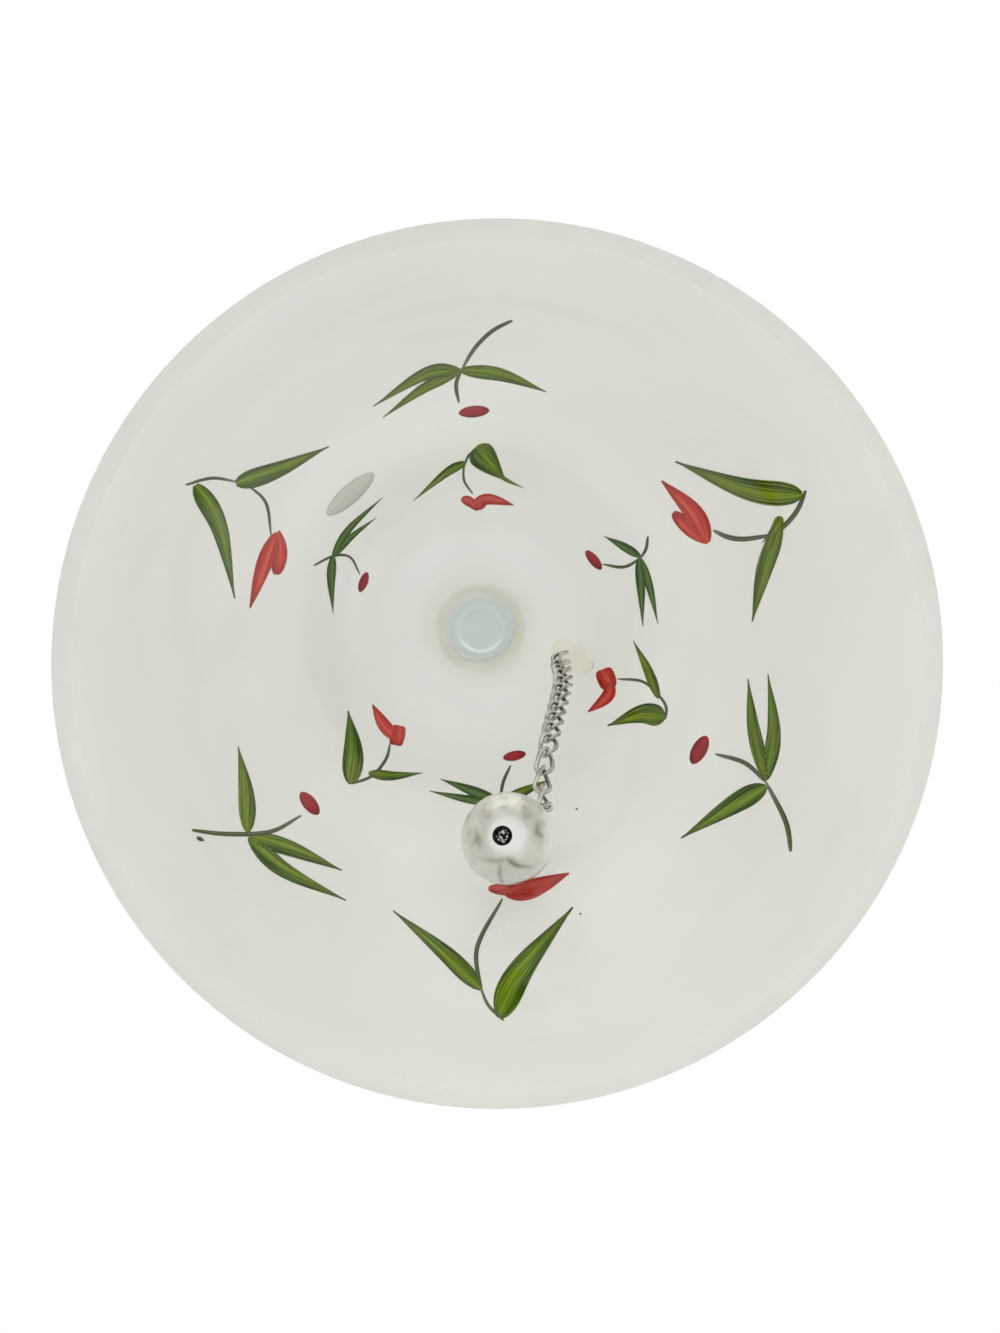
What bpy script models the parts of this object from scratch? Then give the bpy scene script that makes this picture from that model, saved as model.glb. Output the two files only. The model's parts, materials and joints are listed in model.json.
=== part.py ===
# Glass table bell with a ball clapper on a twisted chain.
# Metres, +Z up. The origin is on the bell's axis, in the plane of the ground rim that it stands on.
# The clapper is kept where it lies when the bell is laid on its side: against the wall, on the +Y side.

import math

import bmesh
import bpy
from mathutils import Matrix, Vector

# Cup, outer profile from the rim up: radius of each station and its rise above the one below
RIM_RADIUS = 0.0440
LIP_RADIUS = 0.0396
LIP_RISE = 0.0080
SKIRT_RADIUS = 0.0346
SKIRT_RISE = 0.0120
WAIST_RADIUS = 0.0290
WAIST_RISE = 0.0160
SHOULDER_RADIUS = 0.0186
SHOULDER_RISE = 0.0265
SEAT_RADIUS = 0.0070
CROWN_RISE = 0.0155
CUP_WALL = 0.0016

# Handle, solid glass, from its foot up
FOOT_INSET = 0.0002
NECK_RADIUS = 0.0040
NECK_RISE = 0.0065
KNOP_RADIUS = 0.0064
KNOP_RISE = 0.0070
COLLAR_RADIUS = 0.0042
COLLAR_RISE = 0.0065
GRIP_RADIUS = 0.0058
GRIP_RISE = 0.0180
THROAT_RADIUS = 0.0044
THROAT_RISE = 0.0150
FINIAL_RADIUS = 0.0082
FUSED_SEAM = 0.0001

# Chain: free links between the one set in the adhesive and the eye pin
FREE_LINKS = 16
CHAIN_WIRE = 0.0006
LINK_WIDTH = 0.0024
LINK_PITCH = 0.0023
LINK_PLAY = 0.00015
LINK_TWIST = math.radians(90)

# Where the chain is stuck to the crown, in from the shoulder, and how it leaves it
ANCHOR_INSET = 0.0091
ANCHOR_AZIMUTH = math.radians(15.5)
CHAIN_LEAVES_TILT = math.radians(20)
CHAIN_LEAVES_AZIMUTH = math.radians(90)
ROOT_ROLL = math.radians(60)
ROOT_ROLL_LINKS = 3
PAD_RADIUS = 0.0032
PAD_THICKNESS = 0.0019
PAD_EDGE = 0.0002
PAD_SIDE_SHIFT = 0.0016
PAD_SEAT_GAP = 0.0001
PAD_SOCKET_GAP = 0.0001

# Clapper ball and the eye pin through it
BALL_RADIUS = 0.00503
BALL_AZIMUTH = math.radians(84.6)
BALL_WALL_GAP = 0.0012
PIN_TILT = math.radians(12.6)
PIN_TILT_AZIMUTH = math.radians(48)
SHANK_RADIUS = 0.00040
SHANK_PLAY = 0.00015
HEAD_RADIUS = 0.00085
HEAD_THICKNESS = 0.00070
HEAD_PLAY = 0.00022
HEAD_RECESS = 0.00025
EYE_INNER_RADIUS = 0.00085
EYE_WIRE = 0.0006
CHAIN_ARRIVES_TILT = math.radians(40)
CHAIN_ARRIVES_AZIMUTH = math.radians(-45)
TAIL_ROLL = math.radians(-90)
TAIL_ROLL_LINKS = 4
LINKS_BELOW_ROLL = 2

# Bends of the slack chain on its way to the ball: the share of the way from its top joint to its last one,
# and how far it lies from the straight line between them there, in X and in Y
UPPER_BEND = (0.2797, 0.001528, -0.002744)
MIDDLE_BEND = (0.6529, 0.001833, -0.004020)
LOWER_BEND = (0.7682, 0.001494, -0.001306)
LAST_BEND = (0.8157, 0.002151, 0.000063)

# How finely round shapes are cut into faces
CUP_SEGMENTS = 64
WALL_STEPS = 4
CROWN_STEPS = 7
HANDLE_SEGMENTS = 32
HANDLE_STEPS = 4
FINIAL_STEPS = 8
LINK_POINTS = 18
WIRE_SIDES = 8
PAD_SEGMENTS = 24
PAD_RINGS = 4
BALL_SEGMENTS = 32
BALL_STEPS = 14
PIN_SEGMENTS = 16
EYE_POINTS = 20
ROUTE_STEPS = 60


# Curves

def smooth_curve(stations, steps):
    """Points of a Catmull-Rom curve through the stations, with so many steps in each span."""
    first = 2 * stations[0] - stations[1]
    last = 2 * stations[-1] - stations[-2]
    knots = [first, *stations, last]
    points = []
    for a, b, c, d in zip(knots, knots[1:], knots[2:], knots[3:]):
        for step in range(steps):
            t = step / steps
            linear = (c - a) * t
            square = (2 * a - 5 * b + 4 * c - d) * t**2
            cube = (3 * b - a - 3 * c + d) * t**3
            points.append(b + 0.5 * (linear + square + cube))
    return [*points, stations[-1]]


def bezier(a, b, c, d, steps):
    """Points of a cubic Bezier curve, both ends among them."""
    points = []
    for step in range(steps + 1):
        t = step / steps
        s = 1 - t
        points.append(a * s**3 + b * (3 * s * s * t) + c * (3 * s * t * t) + d * t**3)
    return points


def direction(tilt, azimuth, upward):
    """A unit vector that leans by tilt from straight up or down, towards an azimuth."""
    lean = Vector((math.cos(azimuth), math.sin(azimuth), 0)) * math.sin(tilt)
    return lean + Vector((0, 0, math.cos(tilt) if upward else -math.cos(tilt)))


def along(points, distances):
    """The points that lie at the given distances along a polyline."""
    found, travelled, index = [], 0.0, 0
    for distance in distances:
        while index < len(points) - 2:
            step = (points[index + 1] - points[index]).length
            if travelled + step >= distance:
                break
            travelled += step
            index += 1
        step = points[index + 1] - points[index]
        found.append(points[index] + step * ((distance - travelled) / step.length))
    return found


def length_of(points):
    return sum((b - a).length for a, b in zip(points, points[1:]))


# Cup profile: 2D vectors of radius and height

def cup_outer_profile():
    """From the rim's outer edge up to the flat seat on the crown."""
    radii = (RIM_RADIUS, LIP_RADIUS, SKIRT_RADIUS, WAIST_RADIUS, SHOULDER_RADIUS)
    rises = (0, LIP_RISE, SKIRT_RISE, WAIST_RISE, SHOULDER_RISE)
    stations = [Vector((r, sum(rises[: i + 1]))) for i, r in enumerate(radii)]
    wall = smooth_curve(stations, WALL_STEPS)
    shoulder, seat = stations[-1], Vector((SEAT_RADIUS, stations[-1].y + CROWN_RISE))
    slope = (shoulder - wall[-2]).normalized()
    span = seat - shoulder
    lift = shoulder + slope * (span.y / 2)
    level = seat - Vector((span.x / 2, 0))
    return wall[:-1] + bezier(shoulder, lift, level, seat, CROWN_STEPS)


def cup_inner_profile(outer):
    """The outer profile moved in by the wall, cut level with the rim and closed on the axis."""
    moved = []
    for before, here, after in zip([outer[0], *outer], outer, [*outer[1:], outer[-1]]):
        run = (after - before).normalized()
        moved.append(here - Vector((run.y, -run.x)) * CUP_WALL)
    moved[-1] = Vector((outer[-1].x, outer[-1].y - CUP_WALL))
    above = [p for p in moved if p.y > 0]
    low, high = above[0], above[1]
    rim_radius = low.x + (low.x - high.x) * low.y / (high.y - low.y)
    rim = Vector((rim_radius, 0))
    return [rim, *above, Vector((0, moved[-1].y))]


def inner_height(profile, radius):
    """How high the inside of the cup is at this distance from the axis."""
    for low, high in zip(profile, profile[1:]):
        if high.x <= radius <= low.x:
            return low.y + (high.y - low.y) * (low.x - radius) / max(low.x - high.x, 1e-9)
    return profile[-1].y


def wall_distance(profile, point):
    """The distance from a point of the section, inside the cup, to its inner wall."""
    nearest = math.inf
    for a, b in zip(profile, profile[1:]):
        share = (point - a).dot(b - a) / (b - a).length_squared
        foot = a + (b - a) * min(max(share, 0), 1)
        nearest = min(nearest, (point - foot).length)
    return nearest


def solve(function, low, high):
    """The value between low and high at which a rising function passes zero."""
    for _ in range(50):
        middle = (low + high) / 2
        if function(middle) < 0:
            low = middle
        else:
            high = middle
    return (low + high) / 2


# Meshes

def new_object(name, mesh, material):
    made = bpy.data.objects.new(name, mesh)
    bpy.context.scene.collection.objects.link(made)
    if not mesh.materials:
        mesh.materials.append(material)
    return made


def finish_mesh(name, work):
    """A mesh from the bmesh, with its faces turned outwards and its round sides smooth."""
    bmesh.ops.remove_doubles(work, verts=work.verts, dist=1e-7)
    bmesh.ops.recalc_face_normals(work, faces=work.faces)
    mesh = bpy.data.meshes.new(name)
    work.to_mesh(mesh)
    work.free()
    mesh.shade_smooth()
    mesh.set_sharp_from_angle(angle=math.radians(40))
    return mesh


def turned(name, profile, segments, closed):
    """A solid of revolution about Z. A closed profile is a ring's section, an open one ends on the axis."""
    work = bmesh.new()
    verts = [work.verts.new((p.x, 0, p.y)) for p in profile]
    ends = verts[1:] + verts[:1] if closed else verts[1:]
    edges = [work.edges.new(pair) for pair in zip(verts, ends)]
    bmesh.ops.spin(
        work,
        geom=verts + edges,
        axis=(0, 0, 1),
        cent=(0, 0, 0),
        steps=segments,
        angle=math.tau,
        use_merge=True,
    )
    return finish_mesh(name, work)


def swept_ring(name, points, sides_of):
    """A closed tube through the points. sides_of gives the corners of the wire's section at one of them."""
    work = bmesh.new()
    rings = [[work.verts.new(corner) for corner in sides_of(i)] for i in range(len(points))]
    for ring, after in zip(rings, rings[1:] + rings[:1]):
        for i, corner in enumerate(ring):
            j = (i + 1) % len(ring)
            work.faces.new((corner, ring[j], after[j], after[i]))
    return finish_mesh(name, work)


def wire_corners(centre, out, side, radius):
    """The corners of a round wire's section, in the plane of two unit vectors."""
    corners = []
    for i in range(WIRE_SIDES):
        angle = math.tau * i / WIRE_SIDES
        corners.append(centre + (out * math.cos(angle) + side * math.sin(angle)) * radius)
    return corners


def link_mesh(name, wire_radius):
    """One twisted link, from the joint at its top, which is the origin, down along -Z."""
    half_width = (LINK_WIDTH - CHAIN_WIRE) / 2
    half_length = (LINK_PITCH + CHAIN_WIRE + LINK_PLAY) / 2
    straight = half_length - half_width
    perimeter = 4 * straight + math.tau * half_width

    def flat_point(share):
        """A point of the untwisted link, a flat loop with round ends, and the way out of the loop there."""
        distance = share * perimeter
        for end in (1, -1):
            if distance < 2 * straight:
                place = Vector((end * half_width, 0, end * (distance - straight)))
                return place, Vector((end, 0, 0))
            distance -= 2 * straight
            if distance < math.pi * half_width:
                angle = distance / half_width
                out = Vector((end * math.cos(angle), 0, end * math.sin(angle)))
                return Vector((0, 0, end * straight)) + out * half_width, out
            distance -= math.pi * half_width
        return Vector((half_width, 0, -straight)), Vector((1, 0, 0))

    def twisted(vector, height):
        turn = Matrix.Rotation(LINK_TWIST * height / (2 * half_length), 3, "Z")
        return turn @ vector

    flat = [flat_point(i / LINK_POINTS) for i in range(LINK_POINTS)]
    drop = Vector((0, 0, LINK_PITCH / 2))

    def sides_of(i):
        place, out = flat[i]
        across = Vector((0, 1, 0))
        corners = wire_corners(place, out, across, wire_radius)
        return [twisted(corner, place.z) - drop for corner in corners]

    return swept_ring(name, flat, sides_of)


def cup_mesh(outer, inner):
    crown = Vector((0, outer[-1].y))
    return turned("bell_cup", [crown, *reversed(outer), *inner], CUP_SEGMENTS, False)


def handle_mesh():
    """Foot, neck, knop, collar, swelling grip and throat, then a round finial."""
    radii = (NECK_RADIUS, KNOP_RADIUS, COLLAR_RADIUS, GRIP_RADIUS, THROAT_RADIUS)
    rises = (NECK_RISE, KNOP_RISE, COLLAR_RISE, GRIP_RISE, THROAT_RISE)
    stations = [Vector((SEAT_RADIUS - FOOT_INSET, 0))]
    for radius, rise in zip(radii, rises):
        stations.append(Vector((radius, stations[-1].y + rise)))
    stem = smooth_curve(stations, HANDLE_STEPS)
    throat_angle = math.asin(min(THROAT_RADIUS / FINIAL_RADIUS, 1))
    centre = stations[-1].y + FINIAL_RADIUS * math.cos(throat_angle)
    finial = []
    for step in range(1, FINIAL_STEPS + 1):
        angle = throat_angle + (math.pi - throat_angle) * step / FINIAL_STEPS
        radius = FINIAL_RADIUS * math.sin(angle) if step < FINIAL_STEPS else 0
        finial.append(Vector((radius, centre - FINIAL_RADIUS * math.cos(angle))))
    return turned("handle", [Vector((0, 0)), *stem, *finial], HANDLE_SEGMENTS, False)


def pad_mesh(inner, centre):
    """The adhesive: it fills up to the crown's inside and bulges below it, thinning to its edge."""
    work = bmesh.new()

    def corner(x, y, depth):
        height = inner_height(inner, math.hypot(x, y)) - PAD_SEAT_GAP
        return work.verts.new((x, y, height - depth))

    tops, bottoms = [], []
    for ring in range(1, PAD_RINGS + 1):
        share = ring / PAD_RINGS
        depth = PAD_EDGE + (PAD_THICKNESS - PAD_EDGE) * (1 - share**2)
        top, bottom = [], []
        for i in range(PAD_SEGMENTS):
            angle = math.tau * i / PAD_SEGMENTS
            x = centre.x + PAD_RADIUS * share * math.cos(angle)
            y = centre.y + PAD_RADIUS * share * math.sin(angle)
            top.append(corner(x, y, 0))
            bottom.append(corner(x, y, depth))
        tops.append(top)
        bottoms.append(bottom)
    for layer, depth in ((tops, 0), (bottoms, PAD_THICKNESS)):
        middle = corner(centre.x, centre.y, depth)
        for i in range(PAD_SEGMENTS):
            j = (i + 1) % PAD_SEGMENTS
            work.faces.new((middle, layer[0][i], layer[0][j]))
            for near, far in zip(layer, layer[1:]):
                work.faces.new((near[i], far[i], far[j], near[j]))
    for i in range(PAD_SEGMENTS):
        j = (i + 1) % PAD_SEGMENTS
        work.faces.new((tops[-1][i], bottoms[-1][i], bottoms[-1][j], tops[-1][j]))
    return finish_mesh("adhesive_pad", work)


def ball_mesh():
    """A ball bored through along Z, with a wider recess for the pin's head at the bottom."""
    bore = SHANK_RADIUS + SHANK_PLAY
    recess = HEAD_RADIUS + HEAD_PLAY
    start, end = math.asin(recess / BALL_RADIUS), math.pi - math.asin(bore / BALL_RADIUS)
    profile = []
    for step in range(BALL_STEPS + 1):
        angle = start + (end - start) * step / BALL_STEPS
        profile.append(Vector((math.sin(angle), -math.cos(angle))) * BALL_RADIUS)
    floor = head_top() + HEAD_PLAY
    profile += [Vector((bore, floor)), Vector((recess, floor))]
    return turned("clapper_ball", profile, BALL_SEGMENTS, True)


def head_top():
    """Height of the top of the pin's head over the ball's centre."""
    return -BALL_RADIUS + HEAD_RECESS + HEAD_THICKNESS


def eye_centre_height():
    """Height of the eye's centre over the ball's centre: the eye's wire clears the ball by the shank's play."""
    return BALL_RADIUS + SHANK_PLAY + EYE_WIRE + EYE_INNER_RADIUS


def shank_mesh():
    """The pin below its eye: a straight shank and a domed, peened head."""
    top, foot = head_top(), head_top() - HEAD_THICKNESS
    into_wire = eye_centre_height() - EYE_INNER_RADIUS - EYE_WIRE / 2
    edge = HEAD_THICKNESS / 3
    profile = [Vector((0, into_wire)), Vector((SHANK_RADIUS, into_wire)), Vector((SHANK_RADIUS, top))]
    profile += [Vector((HEAD_RADIUS, top)), Vector((HEAD_RADIUS, foot + edge))]
    profile += [Vector((HEAD_RADIUS * 0.7, foot + edge / 4)), Vector((0, foot))]
    return turned("clapper_pin", profile, PIN_SEGMENTS, False)


def eye_mesh():
    """The pin's eye, in the plane of X and Z, at its height over the ball's centre."""
    ring_radius = EYE_INNER_RADIUS + EYE_WIRE / 2
    centre = Vector((0, 0, eye_centre_height()))
    outs = []
    for i in range(EYE_POINTS):
        angle = math.tau * i / EYE_POINTS
        outs.append(Vector((math.cos(angle), 0, math.sin(angle))))

    def sides_of(i):
        return wire_corners(centre + outs[i] * ring_radius, outs[i], Vector((0, 1, 0)), EYE_WIRE / 2)

    return swept_ring("eye", outs, sides_of)


# Where the clapper lies

def ball_place(inner, height):
    """The ball's centre at this height, lying against the wall with its gap."""
    needed = BALL_RADIUS + BALL_WALL_GAP
    wall = next(a.x for a, b in zip(inner, inner[1:]) if b.y >= height)

    def too_near(radius):
        return needed - wall_distance(inner, Vector((radius, height)))

    radius = solve(too_near, 0, wall)
    return Vector((radius * math.cos(BALL_AZIMUTH), radius * math.sin(BALL_AZIMUTH), height))


def chain_top(inner):
    """The joint under the link that is set in the adhesive."""
    radius = SHOULDER_RADIUS - ANCHOR_INSET
    height = inner_height(inner, radius)
    spot = Vector((math.cos(ANCHOR_AZIMUTH), math.sin(ANCHOR_AZIMUTH), 0)) * radius
    spot.z = height
    set_link = LINK_PITCH + CHAIN_WIRE + LINK_PLAY / 2 + PAD_SEAT_GAP + PAD_SOCKET_GAP
    return spot + direction(CHAIN_LEAVES_TILT, CHAIN_LEAVES_AZIMUTH, False) * (
        set_link + CHAIN_WIRE / 2
    )


def chain_end(ball):
    """The joint of the last link in the pin's eye."""
    pin = direction(PIN_TILT, PIN_TILT_AZIMUTH, True)
    leaves = direction(CHAIN_ARRIVES_TILT, CHAIN_ARRIVES_AZIMUTH, True)
    eye = ball + pin * eye_centre_height()
    reach = EYE_INNER_RADIUS - LINK_PLAY / 2
    return eye + leaves * reach


def route(inner, ball):
    """The slack chain's line, from the joint under the set link to the one in the pin's eye."""
    top, end = chain_top(inner), chain_end(ball)
    stations = [top]
    for share, x, y in (UPPER_BEND, MIDDLE_BEND, LOWER_BEND, LAST_BEND):
        stations.append(top.lerp(end, share) + Vector((x, y, 0)))
    return smooth_curve([*stations, end], ROUTE_STEPS)


def rest_height(inner):
    """The ball's height at which the chain, at its fixed length, just reaches it."""
    chain = FREE_LINKS * LINK_PITCH

    def slack(height):
        return chain - length_of(route(inner, ball_place(inner, height)))

    highest = chain_top(inner).z
    return solve(slack, BALL_RADIUS, highest - BALL_RADIUS)


def frame_at(joint, down, across):
    """A link's placing: its origin on the joint, -Z down the chain and X across its flat side."""
    side = (across - down * across.dot(down)).normalized()
    turn = Matrix((side, down.cross(side) * -1, down * -1)).transposed()
    return Matrix.Translation(joint) @ turn.to_4x4()


# Materials

def material(name, colour, roughness, metallic=0.0, transmission=0.0, ior=1.5):
    made = bpy.data.materials.new(name)
    made.use_nodes = True
    shader = made.node_tree.nodes["Principled BSDF"]
    shader.inputs["Base Color"].default_value = (*colour, 1)
    shader.inputs["Roughness"].default_value = roughness
    shader.inputs["Metallic"].default_value = metallic
    shader.inputs["Transmission Weight"].default_value = transmission
    shader.inputs["IOR"].default_value = ior
    made.diffuse_color = (*colour, 1)
    return made


# Assembly

def place_under(child, parent):
    """Keeps the child's place and lets it move with its parent."""
    bpy.context.view_layer.update()
    child.parent = parent
    child.matrix_parent_inverse = parent.matrix_world.inverted()


def cut_or_join(target, helper, operation):
    helper.hide_render = True
    helper.display_type = "WIRE"
    change = target.modifiers.new(operation.lower(), "BOOLEAN")
    change.operation = operation
    change.solver = "EXACT"
    change.object = helper


def build_glass(inner, outer):
    satin = material("satin glass", (0.86, 0.89, 0.86), 0.35, transmission=0.6)
    clear = material("clear glass", (0.80, 0.90, 0.87), 0.03, transmission=1.0)
    cup = new_object("bell_cup", cup_mesh(outer, inner), satin)
    handle = new_object("handle", handle_mesh(), clear)
    handle.location.z = outer[-1].y + FUSED_SEAM
    place_under(handle, cup)
    return cup


def roll_step(i):
    """How far link i is rolled about the chain from the one above: the rolls at both ends are spread."""
    if i < ROOT_ROLL_LINKS:
        return -ROOT_ROLL / ROOT_ROLL_LINKS
    if 0 < FREE_LINKS - LINKS_BELOW_ROLL - i <= TAIL_ROLL_LINKS:
        return TAIL_ROLL / TAIL_ROLL_LINKS
    return 0.0


def build_chain(inner, cup, ball):
    """The set link and the free ones, each hung from the one above."""
    silver = material("silvered steel", (0.72, 0.72, 0.70), 0.18, metallic=1.0)
    glue = material("clear adhesive", (0.78, 0.76, 0.62), 0.15, transmission=0.4)
    mesh = link_mesh("chain_link", CHAIN_WIRE / 2)
    path = route(inner, ball)
    total = length_of(path)
    joints = along(path, [total * i / FREE_LINKS for i in range(FREE_LINKS + 1)])

    down = direction(CHAIN_LEAVES_TILT, CHAIN_LEAVES_AZIMUTH, False)
    across = Matrix.Rotation(ROOT_ROLL, 3, down) @ Vector((1, 0, 0))
    place = frame_at(joints[0] - down * LINK_PITCH, down, across)
    above = new_object("anchor_link", mesh, silver)
    above.matrix_world = place
    place_under(above, cup)

    spot = joints[0] - down * LINK_PITCH
    shift = Vector((math.cos(ANCHOR_AZIMUTH), math.sin(ANCHOR_AZIMUTH), 0)) * PAD_SIDE_SHIFT
    pad = new_object("adhesive_pad", pad_mesh(inner, spot + shift), glue)
    socket = new_object("socket", link_mesh("socket", CHAIN_WIRE / 2 + PAD_SOCKET_GAP), glue)
    socket.matrix_world = place
    cut_or_join(pad, socket, "DIFFERENCE")
    place_under(pad, cup)

    for i in range(FREE_LINKS):
        down = (joints[i + 1] - joints[i]).normalized()
        across = Matrix.Rotation(roll_step(i), 3, down) @ place.to_3x3().col[0]
        place = frame_at(joints[i], down, across)
        link = new_object(f"chain_link_{i + 1:02d}", mesh, silver)
        link.matrix_world = place
        place_under(link, above)
        above = link
    return above, joints[-1]


def build_clapper(ball, last_link, end):
    chrome = material("chromed ball", (0.80, 0.80, 0.79), 0.05, metallic=1.0)
    steel = material("steel pin", (0.45, 0.44, 0.41), 0.35, metallic=1.0)
    up = direction(PIN_TILT, PIN_TILT_AZIMUTH, True)
    leaves = (last_link.matrix_world.to_3x3() @ Vector((0, 0, 1))).normalized()
    in_eye = (leaves - up * leaves.dot(up)).normalized()
    turn = Matrix((in_eye, up.cross(in_eye), up)).transposed().to_4x4()
    place = Matrix.Translation(ball) @ turn

    to_joint = Matrix.Translation(place.inverted() @ end * -1)
    shank, eye = shank_mesh(), eye_mesh()
    for mesh in (shank, eye):
        mesh.transform(to_joint)
    pin = new_object("clapper_pin", shank, steel)
    ring = new_object("eye", eye, steel)
    for made in (pin, ring):
        made.matrix_world = place @ to_joint.inverted()
    cut_or_join(pin, ring, "UNION")
    place_under(pin, last_link)

    bead = new_object("clapper_ball", ball_mesh(), chrome)
    bead.matrix_world = place
    place_under(bead, pin)


def main():
    for old in list(bpy.data.objects):
        bpy.data.objects.remove(old, do_unlink=True)
    outer = cup_outer_profile()
    inner = cup_inner_profile(outer)
    cup = build_glass(inner, outer)
    ball = ball_place(inner, rest_height(inner))
    last_link, end = build_chain(inner, cup, ball)
    build_clapper(ball, last_link, end)


main()
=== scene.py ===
# %% [markdown]
# # A glass table bell, seen from below
# The real bell is blown glass, etched to a satin on the outside and left glossy on the inside. Sprigs of
# enamel are fired onto the satin, and a bored ball hangs on a fine curb chain that is stuck to the crown.
# The imported model fixes every place and every joint. This script dresses it: it loads that frame first, and
# models each finer piece where its plain one is.

# %% Load the frame
import json
import math

import bpy
from mathutils import Matrix, Vector, noise


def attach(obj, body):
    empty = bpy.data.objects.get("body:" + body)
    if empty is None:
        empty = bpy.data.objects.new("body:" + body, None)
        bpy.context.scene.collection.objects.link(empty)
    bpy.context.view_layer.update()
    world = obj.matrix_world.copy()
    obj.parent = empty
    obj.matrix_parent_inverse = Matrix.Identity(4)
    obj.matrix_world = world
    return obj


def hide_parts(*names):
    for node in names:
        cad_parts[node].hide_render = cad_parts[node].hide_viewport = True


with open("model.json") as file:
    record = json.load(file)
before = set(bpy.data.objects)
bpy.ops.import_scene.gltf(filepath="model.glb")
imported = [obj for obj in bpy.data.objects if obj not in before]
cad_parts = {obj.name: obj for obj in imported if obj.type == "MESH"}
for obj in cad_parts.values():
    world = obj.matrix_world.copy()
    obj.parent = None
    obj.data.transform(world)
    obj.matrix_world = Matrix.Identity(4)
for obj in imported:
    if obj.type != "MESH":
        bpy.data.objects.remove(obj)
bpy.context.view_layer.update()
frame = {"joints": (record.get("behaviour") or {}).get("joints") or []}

MM = 0.001

# %% [markdown]
# ## Small tools
# Every operator acts on what is selected, so a few helpers deselect all, pick vertices by their place, and
# apply modifiers. Another adds a shader node with its settings and links. Colours are written as sRGB hex,
# as a paint chart gives them, and Blender wants them linear.


# %% Selecting, applying and naming
def deselect_all():
    if bpy.context.object and bpy.context.object.mode != "OBJECT":
        bpy.ops.object.mode_set(mode="OBJECT")
    bpy.ops.object.select_all(action="DESELECT")


def only(obj):
    """Makes this the one selected and active object."""
    deselect_all()
    obj.select_set(True)
    bpy.context.view_layer.objects.active = obj


def pick(obj, test):
    """Selects the vertices that pass the test, with their edges and faces, and opens edit mode."""
    bpy.ops.object.mode_set(mode="OBJECT")
    mesh = obj.data
    for vertex in mesh.vertices:
        vertex.select = bool(test(vertex))
    for part in (*mesh.edges, *mesh.polygons):
        part.select = all(mesh.vertices[i].select for i in part.vertices)
    bpy.ops.object.mode_set(mode="EDIT")
    bpy.ops.mesh.select_mode(type="VERT")


def apply_modifiers(obj):
    only(obj)
    for modifier in list(obj.modifiers):
        bpy.ops.object.modifier_apply(modifier=modifier.name)


def settle(obj, sharp=40):
    """Puts the object's place into its mesh, and shades it smooth but for its sharp edges."""
    only(obj)
    bpy.ops.object.transform_apply(location=True, rotation=True, scale=True)
    bpy.ops.object.shade_smooth_by_angle(angle=math.radians(sharp))


def linear(value):
    """A linear colour, as a shader takes it, from an sRGB hex code or a grey level."""
    if isinstance(value, tuple):
        return value
    if isinstance(value, str):
        parts = [int(value[i : i + 2], 16) / 255 for i in (1, 3, 5)]
        return (*[p / 12.92 if p <= 0.04045 else ((p + 0.055) / 1.055) ** 2.4 for p in parts], 1.0)
    return (value, value, value, 1.0)


def feed(tree, node, inputs):
    """Gives inputs their values: a number, a hex colour, a socket, or a node for its first output."""
    for name, value in inputs.items():
        if isinstance(value, bpy.types.Node):
            value = value.outputs[0]
        if isinstance(value, bpy.types.NodeSocket):
            tree.links.new(value, node.inputs[name])
        else:
            node.inputs[name].default_value = linear(value) if isinstance(value, str) else value


def add(tree, kind, inputs=None, stops=(), **settings):
    """A shader node with its settings and inputs, and on a colour ramp its (position, colour) stops."""
    made = tree.nodes.new("ShaderNode" + kind)
    for name, value in settings.items():
        setattr(made, name, value)
    feed(tree, made, inputs or {})
    while stops and len(made.color_ramp.elements) < len(stops):
        made.color_ramp.elements.new(1)
    for i, (position, value) in enumerate(stops):
        made.color_ramp.elements[i].position = position
        made.color_ramp.elements[i].color = linear(value)
    return made


# a Mix node has sockets for each type of value, and these are its share, its two colours and the result
SHARE, FIRST, SECOND, MIXED = 0, 6, 7, 2


def new_material(name):
    """An empty node material, its tree, its Principled shader and its Object coordinates."""
    made = bpy.data.materials.new(name)
    made.use_nodes = True
    tree = made.node_tree
    tree.nodes.clear()
    shader = add(tree, "BsdfPrincipled")
    add(tree, "OutputMaterial", {"Surface": shader})
    place = add(tree, "TexCoord").outputs["Object"]
    return made, tree, shader, place


# %% [markdown]
# ## The camera
# The photographer looked straight into the mouth, a little from one side. The bell stands on its rim here, so
# the camera is under it and looks up. Where it stands and how long its lens is follow from two circles: the
# rim, which is near, and the ring where the handle meets the crown, which is far.

# %% Camera from the two circles
PHOTO_WIDTH, PHOTO_HEIGHT = 1000, 1333
PIXELS_PER_TAN = 4055.0  # how many pixels of the picture a slope of one spans
EYE = Vector((-10.65, -23.08, -399.19)) * MM
CENTRE_X, CENTRE_Y = 498.5, 666.5  # the pixel that the lens points at

forward = -EYE.normalized()
right = forward.cross(Vector((0, -1, 0))).normalized()
up = right.cross(forward)
SENSOR = 36.0
camera = bpy.data.objects.new("camera", bpy.data.cameras.new("camera"))
bpy.context.scene.collection.objects.link(camera)
camera.data.sensor_width = SENSOR
camera.data.lens = PIXELS_PER_TAN * SENSOR / PHOTO_HEIGHT
camera.data.shift_x = (PHOTO_WIDTH / 2 - CENTRE_X) / PHOTO_HEIGHT
camera.data.shift_y = (CENTRE_Y - PHOTO_HEIGHT / 2) / PHOTO_HEIGHT
camera.data.clip_start, camera.data.clip_end = 0.01, 10
camera.matrix_world = Matrix.Translation(EYE) @ Matrix((right, up, -forward)).transposed().to_4x4()
bpy.context.scene.camera = camera
print("lens, mm:", round(camera.data.lens, 1))


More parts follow.
